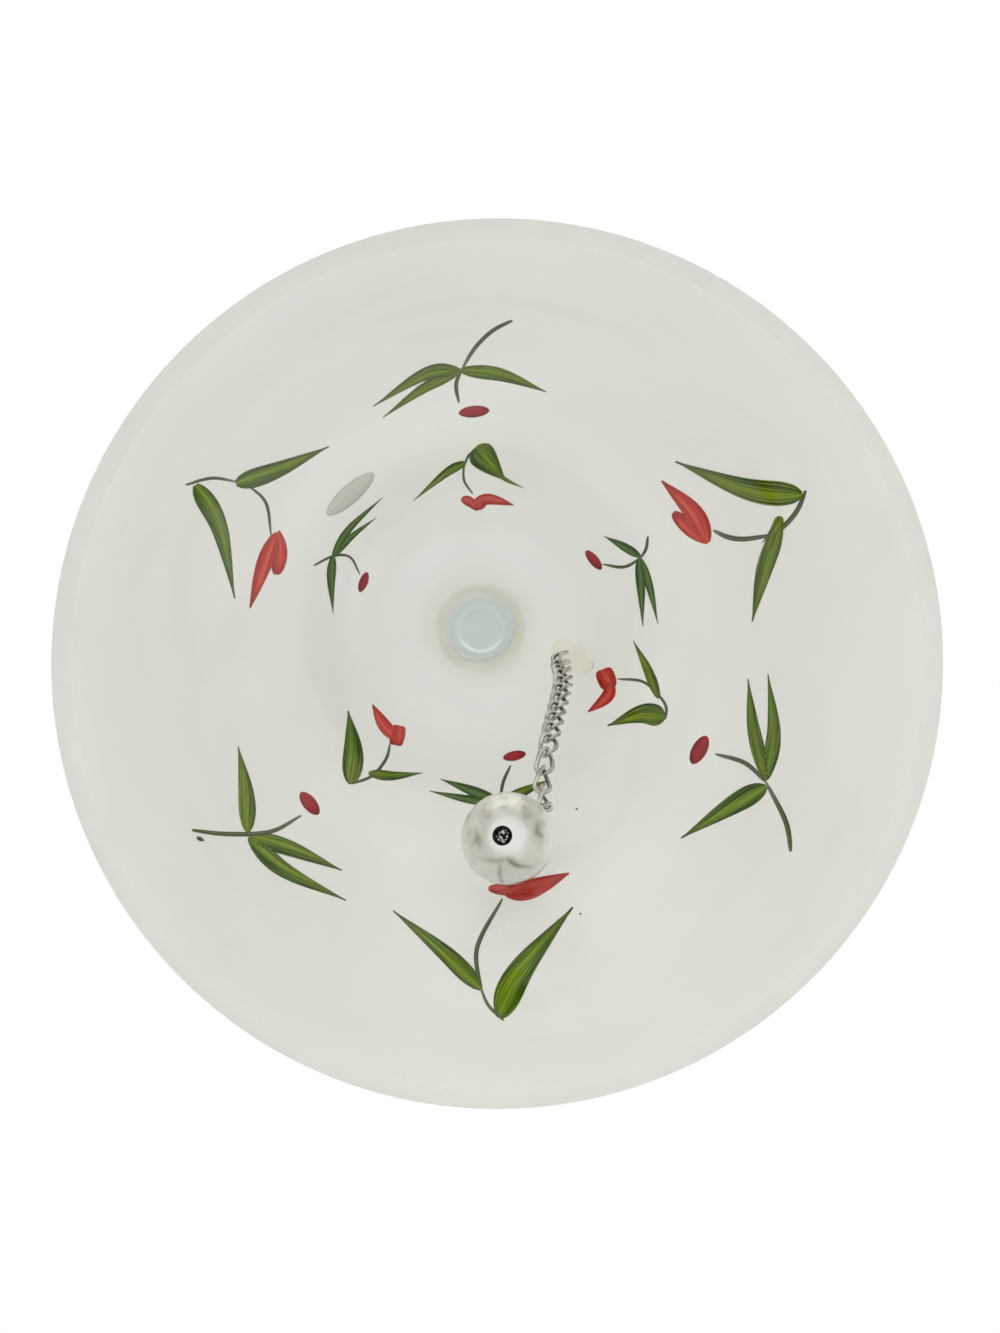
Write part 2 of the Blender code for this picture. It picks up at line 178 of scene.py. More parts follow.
def photo_ray(x, y):
    """The direction from the eye through a place in the picture."""
    return (forward * PIXELS_PER_TAN + right * (x - CENTRE_X) - up * (y - CENTRE_Y)).normalized()


# %% [markdown]
# ## The glass wall as a profile
# A bell is a body of revolution, so its wall is one curve turned round the axis. The outer curve runs
# through a few measured stations. The inner one is the same curve moved in by the wall, and both end on the
# flat ground rim.

# %% Stations of the wall, radius and height in millimetres
RIM_RADIUS, WALL, SEAT_RADIUS, CROWN_HEIGHT = 44.0, 1.6, 7.0, 78.0
WALL_STATIONS = [(RIM_RADIUS, 0.0), (39.6, 8.0), (34.6, 20.0), (29.0, 36.0), (18.6, 62.5)]
PLAIN_STEPS = 4  # the plain cup's steps between two stations, which give the shoulder's slope
WALL_STEPS, CROWN_STEPS = 12, 20
TINY = 1e-9  # keeps a division off zero


def smooth_curve(stations, steps):
    """Points of a Catmull-Rom curve through the stations."""
    knots = [2 * stations[0] - stations[1], *stations, 2 * stations[-1] - stations[-2]]
    points = []
    for a, b, c, d in zip(knots, knots[1:], knots[2:], knots[3:]):
        for step in range(steps):
            t = step / steps
            cubic = (3 * b - a - 3 * c + d) * t**3
            points.append(b + 0.5 * ((c - a) * t + (2 * a - 5 * b + 4 * c - d) * t**2 + cubic))
    return [*points, stations[-1]]


def bezier(a, b, c, d, steps):
    """Points of a Bezier curve from a to d, drawn towards b and c."""
    points = []
    for step in range(steps + 1):
        t = step / steps
        s = 1 - t
        points.append(a * s**3 + b * (3 * s * s * t) + c * (3 * s * t * t) + d * t**3)
    return points


def wall_profiles():
    """The outer and the inner curve, as the plain cup has them: radius and height, from the rim up."""
    stations = [Vector(station) for station in WALL_STATIONS]
    wall = smooth_curve(stations, WALL_STEPS)
    shoulder, seat = stations[-1], Vector((SEAT_RADIUS, CROWN_HEIGHT))
    slope = (shoulder - smooth_curve(stations, PLAIN_STEPS)[-2]).normalized()
    lift = shoulder + slope * ((seat.y - shoulder.y) / 2)
    level = seat - Vector(((seat.x - shoulder.x) / 2, 0))
    outer = wall[:-1] + bezier(shoulder, lift, level, seat, CROWN_STEPS)
    inner = []
    for before, here, after in zip([outer[0], *outer], outer, [*outer[1:], outer[-1]]):
        run = (after - before).normalized()
        inner.append(here - Vector((run.y, -run.x)) * WALL)
    inner[-1] = Vector((SEAT_RADIUS, CROWN_HEIGHT - WALL))
    inner = [point for point in inner if point.y > 0]
    low, high = inner[0], inner[1]
    rim = Vector((low.x + (low.x - high.x) * low.y / (high.y - low.y), 0))
    return outer, [rim, *inner]


def radius_at(profile, height):
    """The wall's radius at a height, along a profile."""
    for low, high in zip(profile, profile[1:]):
        if low.y <= height <= high.y:
            share = (height - low.y) / max(high.y - low.y, TINY)
            return low.x + (high.x - low.x) * share
    return 0.0


outer_wall, inner_wall = wall_profiles()
print("wall points:", len(outer_wall), "rim width, mm:", round(outer_wall[0].x - inner_wall[0].x, 2))

# %% [markdown]
# ## Turned shapes as stacks of rings
# Cup, handle, ball and pin are all round. A circle is added at the first station, then extruded and resized
# from station to station, as a potter's wall goes up. Each end is closed to a point, or both are bridged.

# %% A helper that stacks rings
POLE = 0.01  # a ring on the axis starts this wide, in millimetres, and is merged to a point at the end


def ring_stack(name, stations, segments, closed_ring=False):
    """A solid of revolution about Z from (radius, height) stations in millimetres, the mesh in metres."""
    deselect_all()
    radius, height = stations[0]
    bpy.ops.mesh.primitive_circle_add(
        vertices=segments, radius=max(radius, POLE) * MM, location=(0, 0, height * MM)
    )
    made = bpy.context.active_object
    made.name = made.data.name = name
    bpy.ops.object.transform_apply(location=True, rotation=True, scale=True)
    bpy.ops.object.mode_set(mode="EDIT")
    for (r0, z0), (r1, z1) in zip(stations, stations[1:]):
        bpy.ops.mesh.extrude_edges_move(TRANSFORM_OT_translate={"value": (0, 0, (z1 - z0) * MM)})
        grow = max(r1, POLE) / max(r0, POLE)
        bpy.ops.transform.resize(value=(grow, grow, 1), center_override=(0, 0, z1 * MM))
    last = len(stations) - 1
    if closed_ring:
        pick(made, lambda v: v.index < segments or v.index >= last * segments)
        bpy.ops.mesh.bridge_edge_loops()
    else:
        bpy.ops.mesh.merge(type="CENTER")
        pick(made, lambda v: v.index < segments)
        bpy.ops.mesh.merge(type="CENTER")
    bpy.ops.mesh.select_all(action="SELECT")
    bpy.ops.mesh.normals_make_consistent(inside=False)
    bpy.ops.object.mode_set(mode="OBJECT")
    return made


# %% [markdown]
# ## The cup
# The plain cup has 64 flat sides, which clear glass would show. This one has three times as many. Its faces
# are sorted afterwards into the glossy inside, the satin outside and the ground rim.

# %% Cup
CUP_SEGMENTS = 192
crown_top, crown_under = Vector((0, CROWN_HEIGHT)), Vector((0, CROWN_HEIGHT - WALL))
cup_profile = [crown_top, *reversed(outer_wall), *inner_wall, crown_under]
cup = ring_stack("glass_cup", cup_profile, CUP_SEGMENTS)
settle(cup, sharp=30)
print("cup faces:", len(cup.data.polygons))

# %% [markdown]
# ## Glass, inside and out
# The inside is fire polished, so it is smooth but a little wavy. The outside was etched to a satin: light
# still passes, but it is scattered. The grain of the etch is far too fine to show, so it is drawn at half a
# millimetre. Soda glass bends light with an index of about 1.5, and the handle has that. A satin behind a
# smooth face then hides parts of the sprigs by total reflection, which the picture doesn't show, so the
# cup's index is brought down until they show. All its faces share it, or a false bright disc shows.

# %% Clear and ground glass
SODA_INDEX, CUP_INDEX = 1.5, 1.18
CLOUD = 22.22  # the size of the melt's faint clouds, in millimetres
CLOUD_SHADE = 0.97  # and how dark they are against the clear glass


def glass(name, tint, rough, wave, wave_depth, spread, clearness=1.0, index=SODA_INDEX):
    """Glass whose face is a little wavy. The wave's length and depth are in millimetres."""
    made, tree, shader, place = new_material(name)
    waves = add(tree, "TexNoise", {"Vector": place, "Scale": 1 / (wave * MM), "Detail": 2.0})
    bump = add(tree, "Bump", {"Height": waves, "Distance": wave_depth * MM})
    skin = add(tree, "MapRange", {"Value": waves, "To Min": rough - spread, "To Max": rough + spread})
    cloud = add(tree, "TexNoise", {"Vector": place, "Scale": 1 / (CLOUD * MM), "Detail": 3.0})
    cloudy = (*[CLOUD_SHADE * part for part in linear(tint)[:3]], 1.0)
    finish = {
        "Base Color": add(tree, "ValToRGB", {"Fac": cloud}, [(0.35, cloudy), (0.65, tint)]),
        "Roughness": skin,
        "Normal": bump,
        "IOR": index,
        "Transmission Weight": clearness,
    }
    feed(tree, shader, finish)
    return made


inside_glass = glass("fire polished soda glass", "#fbfcf9", 0.09, 14.0, 0.02, 0.03, 1.0, CUP_INDEX)
ground_glass = glass("ground glass rim", "#f0f1ea", 0.9, 0.3, 0.02, 0.05, 0.6, CUP_INDEX)
clear_glass = glass("clear pressed glass", "#eaf3ef", 0.03, 9.0, 0.02, 0.02)
for made in (inside_glass, ground_glass, clear_glass):
    print("glass:", made.name)

# %% The etched outside
ETCH_GRAIN, ETCH_DEPTH = 0.5, 0.01
SEAT_ZONE, RIM_ZONE = 14.0, 45.0  # how far round the stem, and up from the rim, a change goes
WEAR = 4.0  # how long the waves of a worn edge are, in millimetres


def from_axis(tree, place, zone, wander):
    """How far a point is from the bell's axis, as a share of a zone, with an edge that wanders a little."""
    flat = add(tree, "VectorMath", {0: place, 1: (1, 1, 0)}, operation="MULTIPLY")
    out = add(tree, "VectorMath", {0: flat}, operation="LENGTH").outputs["Value"]
    wave = add(tree, "TexNoise", {"Vector": place, "Scale": 1 / (WEAR * MM), "Detail": 2.0})
    shake = add(tree, "MapRange", {"Value": wave, "To Min": -wander * MM, "To Max": wander * MM})
    worn = add(tree, "Math", {0: out, 1: shake}, operation="ADD")
    return add(tree, "MapRange", {"Value": worn, "From Max": zone * MM})


def etched_glass():
    """Etched all over, but for the seat of the stem, which the hot handle melted clear again."""
    made, tree, shader, place = new_material("acid etched soda glass")
    out = from_axis(tree, place, SEAT_ZONE, 0.25)
    clear = add(tree, "ValToRGB", {"Fac": out}, [(0.24, 1.0), (0.31, 0.35), (0.42, 0.4), (0.55, 0.5)])
    rough = add(tree, "ValToRGB", {"Fac": out}, [(0.25, 0.06), (0.33, 0.9)])
    cloud = add(tree, "TexNoise", {"Vector": place, "Scale": 1 / (CLOUD * MM), "Detail": 3.0})
    etch = add(tree, "ValToRGB", {"Fac": cloud}, [(0.35, "#f1f1eb"), (0.65, "#f6f6f1")])
    # painted shade: the etch is painted a little greyer towards the rim
    height = add(tree, "SeparateXYZ", {"Vector": place}).outputs[2]
    up_wall = add(tree, "MapRange", {"Value": height, "From Max": RIM_ZONE * MM})
    low = add(tree, "ValToRGB", {"Fac": up_wall}, [(0.0, 1.0), (0.12, 1.0), (0.5, 0.6), (1.0, 0.0)])
    rim_shade = {SHARE: low, FIRST: etch, SECOND: "#e7e7e1"}
    etch = add(tree, "Mix", rim_shade, data_type="RGBA").outputs[MIXED]
    # painted light: round the stem's foot the etch is painted a little paler, as the foot throws light round
    # itself
    halo = add(tree, "ValToRGB", {"Fac": out}, [(0.25, 0.0), (0.31, 1.0), (0.65, 0.0)])
    paler = {SHARE: halo, FIRST: etch, SECOND: "#fffff4"}
    grain = add(tree, "TexNoise", {"Vector": place, "Scale": 1 / (ETCH_GRAIN * MM), "Detail": 2.0})
    bump = add(tree, "Bump", {"Height": grain, "Distance": ETCH_DEPTH * MM})
    finish = {
        "Base Color": add(tree, "Mix", paler, data_type="RGBA").outputs[MIXED],
        "Transmission Weight": clear,
        "Roughness": rough,
        "Normal": bump,
        "IOR": CUP_INDEX,
    }
    feed(tree, shader, finish)
    return made


# %% Which face is which
INSIDE, SATIN, GROUND = 0, 1, 2
TOUCHING = 0.01  # faces this near to a height, in millimetres, lie on it
LEVEL = 0.999  # the upward share of a normal from which a face counts as level
for made in (inside_glass, etched_glass(), ground_glass):
    cup.data.materials.append(made)
for face in cup.data.polygons:
    spot = face.center / MM
    if abs(spot.z) < TOUCHING:
        face.material_index = GROUND
    elif spot.z > CROWN_HEIGHT - TOUCHING:
        face.material_index = SATIN
    elif abs(face.normal.z) < LEVEL and face.normal.to_2d().dot(spot.to_2d()) > 0:
        face.material_index = SATIN
    else:
        face.material_index = INSIDE
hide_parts("bell_cup")
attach(cup, "bell")
print("satin faces:", sum(face.material_index == SATIN for face in cup.data.polygons))

# %% [markdown]
# ## The handle
# A solid stem of clear glass, fused on the crown. From below, only its foot and neck show, as a ring seen
# through the crown. The foot is as wide as the soft ring in the picture, and the flare above it was etched
# with the cup. The rest is a turned baluster with a ball finial.

# %% Handle
HANDLE_GAP = 0.1  # the plain pieces keep this seam where the glass is fused, in millimetres
HANDLE_FOOT = CROWN_HEIGHT + HANDLE_GAP
NECK_RADIUS, NECK_HEIGHT, FINIAL_RADIUS = 4.4, 53.0, 8.2
STEM_STATIONS = [(5.2, 0), (4.0, 6.5), (6.4, 13.5), (4.2, 20.0), (5.8, 38.0), (NECK_RADIUS, NECK_HEIGHT)]
STEM_STEPS, FINIAL_STEPS, HANDLE_SEGMENTS = 12, 24, 96
stem = smooth_curve([Vector(station) for station in STEM_STATIONS], STEM_STEPS)
throat = math.asin(NECK_RADIUS / FINIAL_RADIUS)
finial_height = NECK_HEIGHT + FINIAL_RADIUS * math.cos(throat)
finial = []
for step in range(1, FINIAL_STEPS + 1):
    angle = throat + (math.pi - throat) * step / FINIAL_STEPS
    radius = FINIAL_RADIUS * math.sin(angle)
    finial.append(Vector((radius, finial_height - FINIAL_RADIUS * math.cos(angle))))
lift = Vector((0, HANDLE_FOOT))
turned_handle = [lift, *[point + lift for point in (*stem, *finial)]]
handle = ring_stack("glass_handle", turned_handle, HANDLE_SEGMENTS)
settle(handle)
print("handle faces:", len(handle.data.polygons))

# %% The handle's glass
CRESCENT_START, CRESCENT_FULL = 0.9, 1.9  # where along Y it starts and is full, in millimetres


def end_on_glass():
    """The foot, which shows the stem end on: grey green, the glass's tint darkened by painted shade, with a
    paler painted ring, and white at its edge.
    """
    made, tree, shader, place = new_material("handle foot seen end on")
    out = from_axis(tree, place, SEAT_RADIUS, 0.1)
    # the disc, and the darker ring round it, are the glass's tint with painted shade
    stops = [(0.34, "#9ba99f"), (0.37, "#a3b0aa"), (0.44, "#98a4a3"), (0.52, "#98a2a0")]
    stops.append((0.66, "#fcfcf8"))
    plain = add(tree, "ValToRGB", {"Fac": out}, stops)
    # a painted reflection: the far side of the stem catches light, and is painted as a crescent at one edge of
    # its end
    ring = add(tree, "ValToRGB", {"Fac": out}, [(0.35, 0.0), (0.37, 1.0), (0.395, 1.0), (0.42, 0.0)])
    lean = add(tree, "SeparateXYZ", {"Vector": place}).outputs[1]
    span = {"Value": lean, "From Min": CRESCENT_START * MM, "From Max": CRESCENT_FULL * MM}
    far = add(tree, "MapRange", span)
    crescent = add(tree, "Math", {0: ring, 1: far}, operation="MULTIPLY")
    painted_crescent = {SHARE: crescent, FIRST: plain, SECOND: "#c8d5d1"}
    finish = {
        "Base Color": add(tree, "Mix", painted_crescent, data_type="RGBA").outputs[MIXED],
        "Roughness": 0.06,
        "IOR": SODA_INDEX,
        "Transmission Weight": 1.0,
    }
    feed(tree, shader, finish)
    return made


etched_flare = glass("etched handle flare", "#f7f8f2", 0.6, 0.5, 0.01, 0.05)
for made in (clear_glass, end_on_glass(), etched_flare):
    handle.data.materials.append(made)
END_ON, ETCHED = 1, 2  # all other faces keep 0, the clear glass
FLARE = 5.5  # the etch ends this high above the foot, in millimetres
for face in handle.data.polygons:
    height = face.center.z / MM - HANDLE_FOOT
    if height < TOUCHING:
        face.material_index = END_ON
    elif height < FLARE:
        face.material_index = ETCHED
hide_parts("handle")
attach(handle, "bell")
print("foot faces:", sum(face.material_index == END_ON for face in handle.data.polygons))

# %% [markdown]
# ## The curb chain
# Each link of a curb chain is a round loop of wire, pulled long and twisted a quarter turn, so that the chain
# lies flat. One link is modelled: a ring, its halves moved apart, cuts along its straight sides, and a
# twist. It is then copied to each joint, with each copy's mesh its own.

# %% One link
# the wire is a hair thinner than the plain links', so that none touch as they swing
WIRE, LINK_WIDTH, PITCH, PLAY = 0.55, 2.4, 2.3, 0.15
LINK_TWIST = math.radians(90)
LINK_SEGMENTS, WIRE_SEGMENTS = 32, 14
STRAIGHT_CUTS, CUT_REACH = 5, 0.12  # how many cuts, and how far past the straight sides they reach
OUTER_SHADE = 0.7  # how much painted shade the outer edge gets, as a share of the hollow's
half_width = (LINK_WIDTH - WIRE) / 2
half_length = (PITCH + WIRE + PLAY) / 2
straight = half_length - half_width


def plain_link():
    """A link that hangs down from the origin, with the share that faces its hollow on each point."""
    deselect_all()
    bpy.ops.mesh.primitive_torus_add(
        major_segments=LINK_SEGMENTS,
        minor_segments=WIRE_SEGMENTS,
        major_radius=half_width * MM,
        minor_radius=WIRE / 2 * MM,
        rotation=(math.pi / 2, 0, math.radians(180 / LINK_SEGMENTS)),
    )
    made = bpy.context.active_object
    bpy.ops.object.transform_apply(location=True, rotation=True, scale=True)
    for side in (1, -1):
        pick(made, lambda v: v.co.z * side > 0)
        bpy.ops.transform.translate(value=(0, 0, side * straight * MM))
    pick(made, lambda v: abs(v.co.z) < (straight + CUT_REACH) * MM)
    bpy.ops.mesh.subdivide(number_cuts=STRAIGHT_CUTS)
    bpy.ops.object.mode_set(mode="OBJECT")
    hollow = made.data.attributes.new("hollow", "FLOAT", "POINT")
    for vertex in made.data.vertices:
        core = Vector((vertex.co.x, 0, vertex.co.z))
        end = math.copysign(straight * MM, core.z) if abs(core.z) > straight * MM else core.z
        inward = (Vector((0, 0, end)) - core).normalized()
        facing = vertex.normal.dot(inward)
        # painted shade on the outer edge too, where it lies against the next link
        hollow.data[vertex.index].value = facing if facing > 0 else -OUTER_SHADE * facing
    for vertex in made.data.vertices:
        turn = LINK_TWIST * vertex.co.z / (2 * half_length * MM)
        vertex.co = Matrix.Rotation(turn, 3, "Z") @ vertex.co
        vertex.co.z -= PITCH / 2 * MM
    bpy.ops.object.shade_smooth()
    return made


link_pattern = plain_link()
print("link faces:", len(link_pattern.data.polygons))


# %% Silvered wire
TARNISH = 1.111  # the size of its patches, in millimetres


def silver_wire():
    """Silvered wire: bright where it rubs, with painted shade in the hollows of the twist and on its outer
    edge.
    """
    made, tree, shader, place = new_material("silvered steel wire")
    patches = add(tree, "TexNoise", {"Vector": place, "Scale": 1 / (TARNISH * MM), "Detail": 4.0})
    stops = [(0.3, "#a9a8a2"), (0.5, "#cfcec8"), (0.8, "#eae9e4")]
    bright = add(tree, "ValToRGB", {"Fac": patches}, stops)
    hollow = add(tree, "Attribute", attribute_name="hollow").outputs["Fac"]
    share = add(tree, "MapRange", {"Value": hollow, "From Min": 0.5, "From Max": 1.0})
    # painted shade: the hollows of the twist and the outer edge are painted darker
    painted_shade = {SHARE: share, FIRST: bright, SECOND: "#696861"}
    rough = add(tree, "MapRange", {"Value": patches, "To Min": 0.35, "To Max": 0.15})
    finish = {
        "Base Color": add(tree, "Mix", painted_shade, data_type="RGBA").outputs[MIXED],
        "Roughness": rough,
        "Metallic": 1.0,
    }
    feed(tree, shader, finish)
    return made


silver = silver_wire()
print("wire finish:", silver.name)

# %% [markdown]
# ## Hanging the links
# The joints of the frame say where each link starts. Its flat side starts turned at the root, and rolls back
# over three links, then over four more towards the ball, as a slack chain does.

# %% Links at their joints
joints = {joint["name"]: joint for joint in frame["joints"]}
FREE_LINKS = sum(name.startswith("link_") for name in joints)
points = [Vector(joints[f"link_{i + 1:02d}_hinge"]["pos_m"]) for i in range(FREE_LINKS)]
points.append(Vector(joints["pin_hinge"]["pos_m"]))
ROOT_TILT, ROOT_ROLL, ROOT_LINKS = math.radians(20), math.radians(60), 3
TAIL_ROLL, TAIL_LINKS, LINKS_BELOW = math.radians(-90), 4, 2


def hang_link(name, node, body, joint, down, across):
    """A copy of the link at a joint. Down is its length's direction, and across is near its width's."""
    side = (across - down * across.dot(down)).normalized()
    turn = Matrix((side, side.cross(down), -down)).transposed().to_4x4()
    made = bpy.data.objects.new(name, link_pattern.data.copy())
    bpy.context.scene.collection.objects.link(made)
    made.data.transform(Matrix.Translation(joint) @ turn)
    made.data.materials.append(silver)
    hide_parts(node)
    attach(made, body)
    return side


down = Vector((0, math.sin(ROOT_TILT), -math.cos(ROOT_TILT)))
root = points[0] - down * PITCH * MM
across = Matrix.Rotation(ROOT_ROLL, 3, down) @ Vector((1, 0, 0))
across = hang_link("set_link", "anchor_link", "bell", root, down, across)
for i in range(FREE_LINKS):
    down = (points[i + 1] - points[i]).normalized()
    roll = 0.0
    if i < ROOT_LINKS:
        roll = -ROOT_ROLL / ROOT_LINKS
    if 0 < FREE_LINKS - LINKS_BELOW - i <= TAIL_LINKS:
        roll = TAIL_ROLL / TAIL_LINKS
    across = Matrix.Rotation(roll, 3, down) @ across
    node = f"chain_link_{i + 1:02d}"
    across = hang_link(f"curb_link_{i + 1:02d}", node, node, points[i], down, across)
bpy.data.objects.remove(link_pattern)
print("links hung:", FREE_LINKS + 1)

# %% [markdown]
# ## The ball
# A polished, bored ball, as a bead maker sells them: a sphere with a narrow bore, and a wider recess below
# for the pin's peened head. It turns on its pin, so it is modelled upright at the origin and then leaned.

# %% Ball
BALL_RADIUS, BORE, RECESS = 5.03, 0.55, 1.07
HEAD_TOP, HEAD_PLAY = -4.08, 0.22
BALL_STEPS, BALL_SEGMENTS = 64, 128
spin = joints["ball_spin"]
ball_centre, ball_axis = Vector(spin["pos_m"]), Vector(spin["axis"])
start, end = math.asin(RECESS / BALL_RADIUS), math.pi - math.asin(BORE / BALL_RADIUS)
skin = []
for step in range(BALL_STEPS + 1):
    angle = start + (end - start) * step / BALL_STEPS
    skin.append((BALL_RADIUS * math.sin(angle), -BALL_RADIUS * math.cos(angle)))
floor_height = HEAD_TOP + HEAD_PLAY
ball_stations = [*skin, (BORE, floor_height), (RECESS, floor_height)]
ball = ring_stack("bored_ball", ball_stations, BALL_SEGMENTS, True)
lean = ball_axis.to_track_quat("Z", "Y").to_matrix().to_4x4()
ball.matrix_world = Matrix.Translation(ball_centre) @ lean
settle(ball)
print("ball faces:", len(ball.data.polygons))

# %% Chrome, and painted shade in the recess
HANDLING, RECESS_MOTTLE = 2.857, 0.4  # how large the marks of each are, in millimetres
POLISHED = 0.06  # faces this near to the ball's surface are polished, in millimetres


def chromed():
    """Chromed steel: nearly a mirror, with hair scratches and faint handling marks."""
    made, tree, shader, place = new_material("polished chromed steel")
    spots = {"Vector": place, "Scale": 1 / (HANDLING * MM), "Detail": 5.0, "Roughness": 0.6}
    marks = add(tree, "TexNoise", spots)
    span = {"Value": marks, "From Min": 0.35, "From Max": 0.7, "To Min": 0.22, "To Max": 0.33}
    rough = add(tree, "MapRange", span)
    tone = add(tree, "ValToRGB", {"Fac": marks}, [(0.3, "#dad9d4"), (0.7, "#e9e8e3")])
    feed(tree, shader, {"Base Color": tone, "Roughness": rough, "Metallic": 1.0})
    return made


def recess_shade():
    """The recess round the pin's head, painted dark as the shade that falls in it."""
    made, tree, shader, place = new_material("greasy bare steel")
    mottle = add(tree, "TexNoise", {"Vector": place, "Scale": 1 / (RECESS_MOTTLE * MM), "Detail": 2.0})
    tone = add(tree, "ValToRGB", {"Fac": mottle}, [(0.35, "#2c2b28"), (0.7, "#6d6a64")])
    feed(tree, shader, {"Base Color": tone, "Metallic": 0.6, "Roughness": 0.55})
    return made


for made in (chromed(), recess_shade()):
    ball.data.materials.append(made)
# the recess's faces take the painted shade
shaded = 0
for face in ball.data.polygons:
    spot = face.center / MM - ball_centre / MM
    height = spot.dot(ball_axis)
    from_pin = (spot - ball_axis * height).length
    if height < 0 and from_pin < RECESS + TOUCHING and spot.length < BALL_RADIUS - POLISHED:
        face.material_index = 1
        shaded += 1
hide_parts("clapper_ball")
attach(ball, "clapper_ball")
print("greasy faces:", shaded)

# %% [markdown]
# ## The eye pin
# A length of steel wire with an eye at one end. Its other end was peened over with a small hammer, which leaves
# a lumpy head. Its finish has near-black patches of painted shade at random over bright steel. The lumps are
# real bumps in the mesh, from a noise function that gives the same value each time.

# %% The shank and its head
SHANK, HEAD_RADIUS, HEAD_EDGE, HEAD_FOOT, HEAD_DOME = 0.40, 0.85, -4.15, -4.78, 0.43
HEAD_BEVEL, DOME_RINGS, DOME_TURN = 0.07, 10, 8.5  # the turn is in degrees from ring to ring
LUMP, LUMP_HEIGHT, LUMP_START = 0.27, 0.09, 0.05  # they start this far under the head's top
EYE_HEIGHT, EYE_RADIUS, EYE_WIRE, PIN_SEGMENTS = 6.63, 1.15, 0.6, 40
dome = []
for step in range(DOME_RINGS):
    angle = math.radians(DOME_TURN * step)
    dome.append((HEAD_RADIUS * math.cos(angle), HEAD_FOOT + HEAD_DOME * (1 - math.sin(angle))))
shank = [(SHANK, EYE_HEIGHT - EYE_RADIUS), (SHANK, HEAD_TOP)]
edge = [(HEAD_RADIUS - HEAD_BEVEL, HEAD_TOP), (HEAD_RADIUS, HEAD_EDGE)]
pin = ring_stack("eye_pin", [*shank, *edge, *dome], PIN_SEGMENTS)
for vertex in pin.data.vertices:
    if vertex.co.z < (HEAD_TOP - LUMP_START) * MM:
        lump = noise.noise(vertex.co / (LUMP * MM)) * LUMP_HEIGHT
        vertex.co += vertex.normal * lump * MM
print("pin length, mm:", round(pin.dimensions.z / MM, 2))

# %% The eye, and the pin in its place
bpy.ops.mesh.primitive_torus_add(
    major_segments=PIN_SEGMENTS,
    minor_segments=WIRE_SEGMENTS,
    major_radius=EYE_RADIUS * MM,
    minor_radius=EYE_WIRE / 2 * MM,
    location=(0, 0, EYE_HEIGHT * MM),
    rotation=(math.pi / 2, 0, 0),
)
pin.select_set(True)
bpy.context.view_layer.objects.active = pin
bpy.ops.object.join()
bpy.ops.object.transform_apply(location=True, rotation=True, scale=True)
eye = ball_centre + ball_axis * EYE_HEIGHT * MM
leaves = points[-1] - eye
in_eye = (leaves - ball_axis * leaves.dot(ball_axis)).normalized()
turn = Matrix((in_eye, ball_axis.cross(in_eye), ball_axis)).transposed().to_4x4()
pin.matrix_world = Matrix.Translation(ball_centre) @ turn
settle(pin, sharp=25)
print("pin faces:", len(pin.data.polygons))

# %% Drawn and peened steel
HAMMER_GRAIN, HAMMER_DEPTH = 0.3846, 0.05  # in millimetres


def pin_steel():
    """Drawn and peened steel: bright, with near-black patches of painted shade at random over it."""
    made, tree, shader, place = new_material("drawn and peened steel")
    grain = add(tree, "TexNoise", {"Vector": place, "Scale": 1 / (HAMMER_GRAIN * MM), "Detail": 3.0})
    # painted shade: near-black patches at random, not tied to the dents
    stops = [(0.42, "#161513"), (0.50, "#6d6b65"), (0.58, "#dedcd5")]
    tone = add(tree, "ValToRGB", {"Fac": grain}, stops)
    bump = add(tree, "Bump", {"Height": grain, "Distance": HAMMER_DEPTH * MM})
    feed(tree, shader, {"Base Color": tone, "Normal": bump, "Metallic": 1.0, "Roughness": 0.3})
    return made


pin.data.materials.append(pin_steel())
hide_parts("clapper_pin")
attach(pin, "clapper_pin")
print("pin finish:", pin.active_material.name)

# %% [markdown]
# ## The adhesive
# A dab of clear adhesive holds the set link to the crown. Where it wets the glass no step is seen between the
# two, so its index is low here, and it shows only as a faint warm patch.

# %% Adhesive: a thin spread with a mound that holds the set link
PAD_RADIUS, PAD_GAP, PAD_STEPS, PAD_SEGMENTS = 2.2, 0.1, 8, 48
PAD_FILM, PAD_BELLY = 0.02, 0.12  # the thickness of its edge, and how much more there is in its middle
PAD_MOUND, MOUND_SPREAD = 1.6, 0.9
PAD_LEAN, PAD_SHIFT = math.radians(15.5), 1.3  # which way, and how far, the dab lies off the set link
set_spot = root / MM
pad_middle = set_spot + Vector((math.cos(PAD_LEAN), math.sin(PAD_LEAN), 0)) * PAD_SHIFT


def crown_height(radius):
    """How high the inside of the crown is at this distance from the axis."""
    for low, high in zip(inner_wall, inner_wall[1:]):
        if high.x <= radius <= low.x:
            return low.y + (high.y - low.y) * (low.x - radius) / max(low.x - high.x, TINY)
    return CROWN_HEIGHT - WALL


